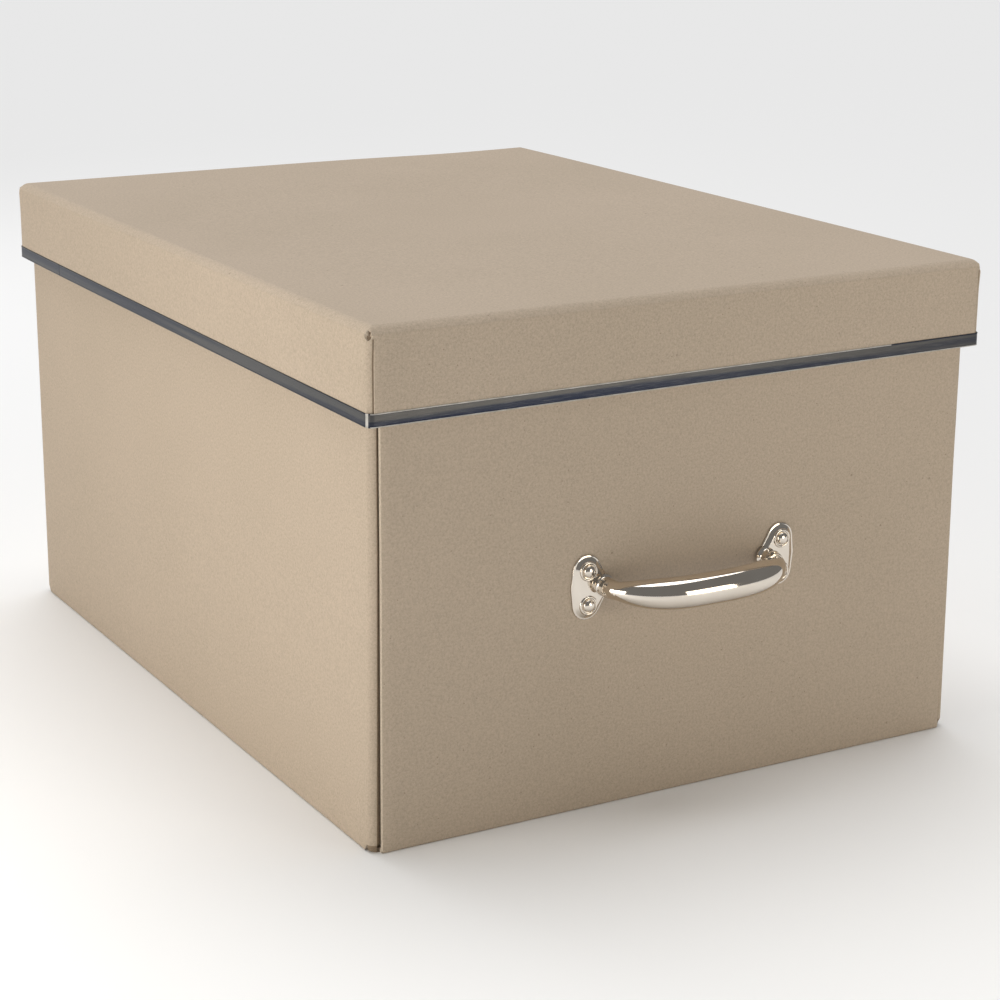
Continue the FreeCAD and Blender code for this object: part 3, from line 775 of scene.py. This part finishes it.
def lid_corner(skin, side, end, levels, fold):
    """The crushed corner where three folds meet, and below it the upright fold, whose flap
    slips behind the end apron. A small hole is left where the cuts in the blank meet."""
    flip = side * end > 0
    corner_x, corner_y = LID_X - CORNER_ROUND, LID_Y - CORNER_ROUND
    centre = hole_centre(side, end)
    top = LID_TOP - LID_FOLD_DROP
    turns = CORNER_STEPS

    def signed(x, y, z):
        return relaxed(Vector((side * x, end * y, z)))

    def settled(level):
        share = min((top - level) / SETTLE, 1.0)
        return SETBACK * share * share * (3 - 2 * share)

    def crown(i, j):
        sine, cosine = quarter(i, turns)
        out, drop = fold[j]
        radius = corner_round(out)
        x = LID_X - LID_FOLD_OUT + out - radius * (1 - cosine)
        y = LID_Y - LID_FOLD_OUT + out - radius * (1 - sine)
        return signed(x, y, LID_TOP - drop)

    def open_cell(place):
        def keep(i, j):
            middle = (place(i, j) + place(i + 1, j + 1)) / 2
            return (middle - centre).length > HOLE_RADIUS

        return keep

    skin.patch(turns + 1, len(fold), crown, open_cell(crown), flip=flip)
    flap_y = LID_Y - BOARD - FLAP_GAP
    flap = lay_out(corner_x - 0.3 * MM, LID_FLAP_X, PITCH)

    def upright(i, j):
        level = levels[j]
        if i <= turns:
            sine, cosine = quarter(i, turns)
            x = corner_x + CORNER_ROUND * cosine
            return signed(x, corner_y - settled(level) + CORNER_ROUND * sine, level)
        return signed(flap[i - turns - 1], flap_y, level)

    def keep(i, j):
        middle = (levels[j] + levels[j + 1]) / 2
        if middle < LID_FLAP_BOTTOM:
            return False
        if i >= turns:
            return middle < top - SLIT
        return open_cell(upright)(i, j)

    # Painted shade: the last faces of the upright fold, next to the seam with the end apron, take the dark
    # seam_shade tone.
    def shaded(i, j):
        return i >= turns - 4 and levels[j] < top - 0.4 * SLIT

    skin.patch(turns + 1 + len(flap), len(levels), upright, keep, flip=flip, shaded=shaded)
    apron_end = (LID_Y - LID_FOLD_OUT - SETBACK) * corner_y / (LID_Y - LID_FOLD_OUT)

    def gusset(i, j):
        return signed(LID_X, corner_y - settled(levels[j]) if i else apron_end, levels[j])

    skin.patch(
        2, len(levels), gusset, lambda i, j: levels[j] > top - SETTLE + 1e-6, flip=flip
    )
    # A small patch set back inside the hole, in the dark seam_shade tone: painted shade.
    facing = Vector((side, end, 0.55)).normalized()
    sideways = facing.cross(Vector((0, 0, 1))).normalized()
    upwards = sideways.cross(facing)
    floor_centre = centre - facing * HOLE_FLOOR
    half = 0.98 * HOLE_RADIUS

    def hole_floor(i, j):
        return floor_centre + sideways * (half * (i - 1)) + upwards * (half * (j - 1))

    skin.patch(3, 3, hole_floor, flip=True, shaded=lambda i, j: True)


lid_board()

# ---------------------------------------------------------------- edge strip

STRIP_SHEET = STRIP_HIGH.x - LID_X
STRIP_BEND = 3.4 * MM
STRIP_DROP = 0.1 * MM
STRIP_TILT = 1.5 * MM
# Where the bright lip tone, partly wear and partly painted highlight, stops along the ends, with a ragged
# edge.
WORN_AND_HIGHLIT_END_X = 0.13
WORN_AND_HIGHLIT_BLOTCH = 0.06
STRIP_WANDER = 0.05 * MM
STRIP_INNER_TOP = LID_FLAP_BOTTOM - 0.2 * MM
STRIP_JOINT_Y = LID_Y - 75 * MM
STRIP_JOINT_GAP = 0.35 * MM
LIP = 0.62 * MM
BEND_STEPS = 10


def strip_section():
    """The channel's outline: (how far out from the board's face, height, is it a lip)."""
    low, high = STRIP_LOW.z - STRIP_DROP, STRIP_HIGH.z
    out, inner = STRIP_SHEET, -(BOARD + STRIP_SHEET)
    face = out - 0.12 * MM
    return [
        (-BOARD, low + STRIP_SHEET, False),
        (-BOARD, STRIP_INNER_TOP, False),
        (inner, STRIP_INNER_TOP, False),
        (inner, low + 0.2 * MM, False),
        (inner + 0.2 * MM, low, True),
        (out - 0.25 * MM, low, True),
        (out - 0.05 * MM, low + 0.10 * MM, True),
        (out, low + 0.30 * MM, True),
        (out, low + LIP, True),
        (face, low + LIP + 0.18 * MM, False),
        (face + 0.03 * MM, (low + high) / 2, False),
        (face, high - LIP - 0.18 * MM, False),
        (out, high - LIP, True),
        (out, high - 0.22 * MM, True),
        (out - 0.08 * MM, high - 0.05 * MM, True),
        (out - 0.22 * MM, high, True),
        (0.04 * MM, high, True),
        (0.04 * MM, low + STRIP_SHEET, False),
    ]


def strip_stations():
    """Points round the lid's rim, from the butt joint round to it again: (x, y, the outward
    direction, length along). The place is that of the board's face."""
    bend = STRIP_BEND
    stations = []

    def straight(start, stop, normal):
        count = max(2, math.ceil((stop - start).length / (6 * MM)))
        for step in range(count):
            stations.append((start + (stop - start) * step / count, normal))

    corner_x, corner_y = LID_X - bend, LID_Y - bend
    gap = STRIP_JOINT_GAP / 2
    first = Vector((-LID_X, STRIP_JOINT_Y + gap))
    turns = [(-1, 1, math.pi), (1, 1, math.pi / 2), (1, -1, 0.0), (-1, -1, -math.pi / 2)]
    here = first
    for x_sign, y_sign, start_angle in turns:
        centre = Vector((x_sign * corner_x, y_sign * corner_y))
        normal = Vector((math.cos(start_angle), math.sin(start_angle)))
        straight(here, centre + normal * bend, normal)
        for step in range(BEND_STEPS):
            angle = start_angle - math.pi / 2 * step / BEND_STEPS
            normal = Vector((math.cos(angle), math.sin(angle)))
            stations.append((centre + normal * bend, normal))
        angle = start_angle - math.pi / 2
        normal = Vector((math.cos(angle), math.sin(angle)))
        here = centre + normal * bend
    last = Vector((-LID_X, STRIP_JOINT_Y - gap))
    straight(here, last, Vector((-1.0, 0.0)))
    stations.append((last, Vector((-1.0, 0.0))))
    return stations


def edge_strip():
    """The channel round the lid's rim. Its lips along the lid's ends take a brighter tone, partly wear and
    partly painted highlight, the upper lip only left of a ragged point near the right end; part of each
    bend is bright across the whole channel, a painted highlight."""
    section, stations = strip_section(), strip_stations()
    tool = bmesh.new()
    uv_layer = tool.loops.layers.uv.new("along")
    rings, lengths = [], [0.0]
    for index, (place, normal) in enumerate(stations):
        if index:
            lengths.append(lengths[-1] + (place - stations[index - 1][0]).length)
        wander = STRIP_WANDER * noise.noise(Vector((lengths[-1] * 18.0, 4.0, 0.0)))
        ring = []
        for out, height, _ in section:
            spot = place + normal * (out + (wander if out > 0.1 * MM else 0.0))
            spot.x = pulled(spot.x, spot.y)
            nearness = max(0.5 - spot.y / (2 * LID_Y), 0.0)
            sag = STRIP_TILT * (0.5 - spot.x / (2 * LID_X)) * math.sqrt(nearness)
            ring.append(tool.verts.new((spot.x, spot.y, height - sag)))
        rings.append(ring)
    count = len(section)
    for index in range(len(rings) - 1):
        for k in range(count):
            n = (k + 1) % count
            quad = [rings[index][k], rings[index][n], rings[index + 1][n], rings[index + 1][k]]
            face = tool.faces.new(quad)
            heading = (stations[index][1] + stations[index + 1][1]).normalized()
            # Painted highlight: the end lips, partly wear too, and part of each bend take the bright lip
            # material.
            blotch = noise.noise(Vector((lengths[index] * 45.0, 9.0, 0.0)))
            patchy = stations[index][0].x + WORN_AND_HIGHLIT_BLOTCH * blotch
            worn_and_highlit_end = abs(heading.y) > 0.85 and (patchy < WORN_AND_HIGHLIT_END_X or k < count // 2)
            highlit_bend = 0.1 < abs(heading.y) < 0.62
            rim = section[k][2] and section[n][2]
            face.material_index = 1 if (rim and worn_and_highlit_end) or highlit_bend else 0
            spans = (lengths[index], lengths[index], lengths[index + 1], lengths[index + 1])
            shares = (k, k + 1, k + 1, k)
            for loop, span, part in zip(face.loops, spans, shares):
                loop[uv_layer].uv = (span, part / count)
    tool.faces.new(rings[0][::-1])
    tool.faces.new(rings[-1])
    bmesh.ops.recalc_face_normals(tool, faces=tool.faces)
    piece = finish_mesh("edge_strip_channel", tool, [STRIP, STRIP_WEAR_AND_HIGHLIGHT])
    shade(piece, 32.0)
    return own(piece, "lid", ["lid_edge_strip"])


edge_strip()

# ---------------------------------------------------------------- handle

WALL_Y = -BASE_Y
HANDLE_Z = (HANDLE_LOW.z + HANDLE_HIGH.z) / 2
PLATE_ROUND = 8.5 * MM
PLATE_X = HANDLE_HIGH.x - PLATE_ROUND
RIVET_RISE = (HANDLE_HIGH.z - HANDLE_LOW.z) / 2 - PLATE_ROUND
FLARE_X = 51.9 * MM
FLARE_RISE = 5.7 * MM
FLARE_ROUND = 1.6 * MM
BAR_SPAN = 56 * MM
BAR_RADIUS = 8.7 * MM
BAR_REACH = WALL_Y - HANDLE_LOW.y - BAR_RADIUS
THROAT_RADIUS = 5.0 * MM
NECK_RADIUS = 4.2 * MM
BAR_FULLNESS = 3.05
BAR_SHOULDER = 1.26
BAR_TAPER = 5.0
BAR_DROOP = 0.8 * MM
ROUND_STEPS = 40
PLATE_BELLY_IN = 1.5 * MM
BELLY_ROUND = PLATE_ROUND + PLATE_BELLY_IN + 1.05 * MM
NECK_X = 52.2 * MM
NECK_BEND = 8.6 * MM
NECK_END = 13.6 * MM
RING_OUT = 8.3 * MM
DOME_RADIUS = 3.5
DOME_HEIGHT = 2.1
DOME_BASE = 3.3
DOME_STEPS = 9


def hull_outline(circles, steps=10):
    """Points round a ring of circles (x, y, radius), anticlockwise."""
    normals = []
    for index, (x, y, radius) in enumerate(circles):
        next_x, next_y, next_radius = circles[(index + 1) % len(circles)]
        run = math.hypot(next_x - x, next_y - y)
        heading = math.atan2(next_y - y, next_x - x)
        normals.append(heading - math.acos(max(-1.0, min(1.0, (radius - next_radius) / run))))
    points = []
    for index, (x, y, radius) in enumerate(circles):
        start, stop = normals[index - 1], normals[index]
        while stop < start:
            stop += 2 * math.pi
        for step in range(steps + 1):
            angle = start + (stop - start) * step / steps
            points.append((x + radius * math.cos(angle), y + radius * math.sin(angle)))
    return points


def plate_rings(side):
    """The plate's outline at each level: a low rim on the wall, a wide bevel, a small step
    and a flat face."""
    levels = [(0.0, 0.0), (0.0, 0.5), (0.06, 0.72), (0.2, 0.86), (0.45, 0.94), (0.95, 1.0)]
    levels += [(1.1, 1.04), (1.25, 1.14), (1.7, 1.52), (2.4, 2.08), (2.9, 2.44)]
    levels += [(3.1, 2.6), (3.2, 2.7), (3.35, 2.78), (3.6, 2.8)]
    rings = []
    for inset, height in levels:
        shrink = inset * MM
        flare = max(FLARE_ROUND - shrink * 0.45, 0.15 * MM)
        circles = [
            (PLATE_X, -RIVET_RISE, PLATE_ROUND - shrink),
            (PLATE_X - PLATE_BELLY_IN, 0.0, BELLY_ROUND - shrink * 1.25),
            (PLATE_X, RIVET_RISE, PLATE_ROUND - shrink),
            (FLARE_X + shrink * 0.3, FLARE_RISE - shrink * 0.3, flare),
            (FLARE_X + shrink * 0.3, -FLARE_RISE + shrink * 0.3, flare),
        ]
        rings.append([(side * x, z, height * MM) for x, z in hull_outline(circles)])
    return rings


def add_rings(tool, rings, close_first):
    """Joins rings of points one after another. The last ring is closed with a face."""
    made = [[tool.verts.new(point) for point in ring] for ring in rings]
    for lower, upper in zip(made, made[1:]):
        for k in range(len(lower)):
            n = (k + 1) % len(lower)
            tool.faces.new([lower[k], lower[n], upper[n], upper[k]])
    if close_first:
        tool.faces.new(made[0][::-1])
    tool.faces.new(made[-1])


def wall_point(x, z, out):
    """A point in front of the front wall, at height z from the handle's middle."""
    return Vector((x, WALL_Y - out, HANDLE_Z + z))


def turned(tool, x, z, profile, close_first=False):
    """A form turned about an axis that stands out from the wall: profile is (out, radius), in
    millimetres."""
    rings = []
    for out, radius in profile:
        rings.append(
            [
                wall_point(
                    x + radius * MM * math.cos(2 * math.pi * k / ROUND_STEPS),
                    z + radius * MM * math.sin(2 * math.pi * k / ROUND_STEPS),
                    out * MM,
                )
                for k in range(ROUND_STEPS)
            ]
        )
    add_rings(tool, rings, close_first)


def bar_line():
    """The bar's centre line from the left plate to the right: (across, out). Two straight
    necks, and between them a flattened arch."""
    arch = []
    first = math.asin((NECK_END / BAR_REACH) ** (1 / BAR_SHOULDER))
    steps = 150
    for step in range(steps + 1):
        share = step / steps
        angle = first + (math.pi - 2 * first) * (share - 0.11 * math.sin(2 * math.pi * share))
        across = math.copysign(abs(math.cos(angle)) ** (2 / BAR_FULLNESS), math.cos(angle))
        arch.append((-across * BAR_SPAN, math.sin(angle) ** BAR_SHOULDER * BAR_REACH))
    joint = -arch[0][0]
    neck = [(-NECK_X, out) for out in lay_out(1.6 * MM, NECK_BEND, 0.35 * MM)]
    for step in range(1, 12):
        share = step / 12
        ease = share * share * (1.7 - 0.7 * share)
        neck.append((-NECK_X + (NECK_X - joint) * ease, NECK_BEND + (NECK_END - NECK_BEND) * share))
    far = [(-across, out) for across, out in neck[::-1]]
    return neck + arch + far, joint


def bar_section_radius(across, out, joint):
    """The flared root, the neck with its thin ring, the throat, and the full belly."""
    share = abs(across) / joint
    belly = THROAT_RADIUS + (BAR_RADIUS - THROAT_RADIUS) * (1 - min(share, 1.0) ** BAR_TAPER)
    if out >= NECK_END:
        return belly
    root = 1.5 * MM * math.exp(-((out - 2.6 * MM) / (1.1 * MM)))
    ring = 0.75 * MM * math.exp(-(((out - RING_OUT) / (0.6 * MM)) ** 2))
    narrow = min(max((out - RING_OUT + 1.2 * MM) / (2.6 * MM), 0.0), 1.0)
    narrow = narrow * narrow * (3 - 2 * narrow)
    neck = NECK_RADIUS + (THROAT_RADIUS - NECK_RADIUS) * narrow
    return neck + min(root, 2.0 * MM) + ring


def handle_casting():
    """Two plates with a collar round each rivet, and the bar with its necks."""
    tool = bmesh.new()
    for side in (-1, 1):
        rings = [[wall_point(x, z, out) for x, z, out in ring] for ring in plate_rings(side)]
        add_rings(tool, rings, True)
        for rise in (-1, 1):
            collar = [(2.3, 5.5), (2.85, 5.42), (3.2, 5.22), (3.45, 4.95), (3.54, 4.65)]
            collar += [(3.48, 4.35), (3.3, 4.12), (3.05, 3.98), (2.9, 3.0)]
            turned(tool, side * PLATE_X, rise * RIVET_RISE, collar)
    line, joint = bar_line()
    rings = []
    for index, (across, out) in enumerate(line):
        before, after = line[max(index - 1, 0)], line[min(index + 1, len(line) - 1)]
        heading = Vector((after[0] - before[0], -(after[1] - before[1]), 0)).normalized()
        sideways = heading.cross(Vector((0, 0, 1)))
        radius = bar_section_radius(across, out, joint)
        centre = wall_point(across, -BAR_DROOP * (out / BAR_REACH) ** 2, out)
        rings.append(
            [
                centre
                + sideways * (radius * math.cos(2 * math.pi * k / ROUND_STEPS))
                + Vector((0, 0, radius * math.sin(2 * math.pi * k / ROUND_STEPS)))
                for k in range(ROUND_STEPS)
            ]
        )
    add_rings(tool, rings, True)
    bmesh.ops.recalc_face_normals(tool, faces=tool.faces)
    piece = finish_mesh("handle_casting", tool, [NICKEL])
    shade(piece, 38.0)
    return own(piece, "base", ["handle"])


def rivets():
    """Dome heads in front of the plates, and their peened tails over the washers inside."""
    tool = bmesh.new()
    tail = -(RIVETS_REAR - WALL_Y) / MM
    dome = [(2.6, 2.0), (2.95, DOME_RADIUS - 0.15), (DOME_BASE, DOME_RADIUS)]
    for step in range(1, DOME_STEPS):
        angle = math.pi / 2 * step / DOME_STEPS
        dome.append((DOME_BASE + DOME_HEIGHT * math.sin(angle), DOME_RADIUS * math.cos(angle)))
    dome.append((DOME_BASE + DOME_HEIGHT, 0.25))
    peen = [(tail, 0.8), (tail + 0.05, 2.2), (tail + 0.25, 2.8), (tail + 0.6, 3.1), (tail + 0.98, 3.15)]
    for side in (-1, 1):
        for rise in (-1, 1):
            turned(tool, side * PLATE_X, rise * RIVET_RISE, dome, close_first=True)
            turned(tool, side * PLATE_X, rise * RIVET_RISE, peen, close_first=True)
    bmesh.ops.recalc_face_normals(tool, faces=tool.faces)
    piece = finish_mesh("rivet_set", tool, [NICKEL])
    shade(piece, 40.0)
    return own(piece, "base", ["handle_rivets"])


handle_casting()
rivets()

# ---------------------------------------------------------------- stage, light and camera


FLOOR_REACH = 14.0
CAMERA_PLACE = Vector((-0.6993, -1.2722, 0.5242))
CAMERA_ANGLES = (29.763, 16.248, 0.349)
CAMERA_LENS = 86.99
CAMERA_SENSOR = 36.0
WHITE = (1.0, 1.0, 1.0)
WORLD_STRENGTH = 0.20
LIGHT_TARGET = Vector((0.0, -0.1, 0.14))
OVERHEAD_POWER = 2.3
OVERHEAD_SPREAD = math.radians(60)
PANELS = (
    ("front_fill", (0.5, -1.4, 0.3), 0.5, 3.0, (1.08, 1.0, 0.84)),
    ("left_fill", (-1.15, -0.25, 0.3), 0.5, 4.9, (1.05, 1.0, 0.90)),
    ("rear_fill", (-0.4, 1.5, 1.0), 0.8, 3.0, WHITE),
)


def floor():
    """A plain pale floor."""
    mesh = bpy.data.meshes.new("floor")
    corners = [
        (-FLOOR_REACH, -FLOOR_REACH),
        (FLOOR_REACH, -FLOOR_REACH),
        (FLOOR_REACH, FLOOR_REACH),
        (-FLOOR_REACH, FLOOR_REACH),
    ]
    mesh.from_pydata([(x, y, 0.0) for x, y in corners], [], [(0, 1, 2, 3)])
    piece = bpy.data.objects.new("floor", mesh)
    bpy.context.scene.collection.objects.link(piece)
    material, _, _, shader = new_material("pale_floor")
    shader.inputs["Base Color"].default_value = (0.9, 0.9, 0.9, 1.0)
    shader.inputs["Roughness"].default_value = 0.95
    shader.inputs["Specular IOR Level"].default_value = 0.0
    mesh.materials.append(material)


def place_light(name, kind, place, power, colour):
    """A lamp that faces the box."""
    lamp = bpy.data.lights.new(name, kind)
    lamp.energy = power
    lamp.color = colour
    light = bpy.data.objects.new(name, lamp)
    light.location = place
    light.rotation_euler = (LIGHT_TARGET - Vector(place)).to_track_quat("-Z", "Y").to_euler()
    bpy.context.scene.collection.objects.link(light)
    return lamp


def lights():
    """One broad soft light overhead, and soft panels in front, to the left and behind."""
    overhead = place_light("overhead", "SUN", (0.3, 0.6, 2.4), OVERHEAD_POWER, WHITE)
    overhead.angle = OVERHEAD_SPREAD
    for name, place, size, power, colour in PANELS:
        panel = place_light(name, "AREA", place, power, colour)
        panel.shape = "SQUARE"
        panel.size = size


def studio_world():
    """The same dim white from every direction."""
    world = bpy.data.worlds.new("studio")
    world.use_nodes = True
    background = world.node_tree.nodes["Background"]
    background.inputs["Color"].default_value = (*WHITE, 1.0)
    background.inputs["Strength"].default_value = WORLD_STRENGTH
    bpy.context.scene.world = world


def camera():
    """The viewpoint: left of the front corner, a little above the lid."""
    yaw, pitch, roll = (math.radians(angle) for angle in CAMERA_ANGLES)
    forward = Vector(
        (math.sin(yaw) * math.cos(pitch), math.cos(yaw) * math.cos(pitch), -math.sin(pitch))
    )
    level = Vector((math.cos(yaw), -math.sin(yaw), 0.0))
    upward = level.cross(forward)
    right = level * math.cos(roll) + upward * math.sin(roll)
    up = upward * math.cos(roll) - level * math.sin(roll)
    data = bpy.data.cameras.new("camera")
    data.sensor_width = CAMERA_SENSOR
    data.lens = CAMERA_LENS
    data.clip_end = 100.0
    view = bpy.data.objects.new("camera", data)
    axes = Matrix((right, up, -forward)).transposed().to_4x4()
    view.matrix_world = Matrix.Translation(CAMERA_PLACE) @ axes
    bpy.context.scene.collection.objects.link(view)
    bpy.context.scene.camera = view


floor()
studio_world()
lights()
camera()
bpy.context.scene.view_settings.view_transform = "Standard"
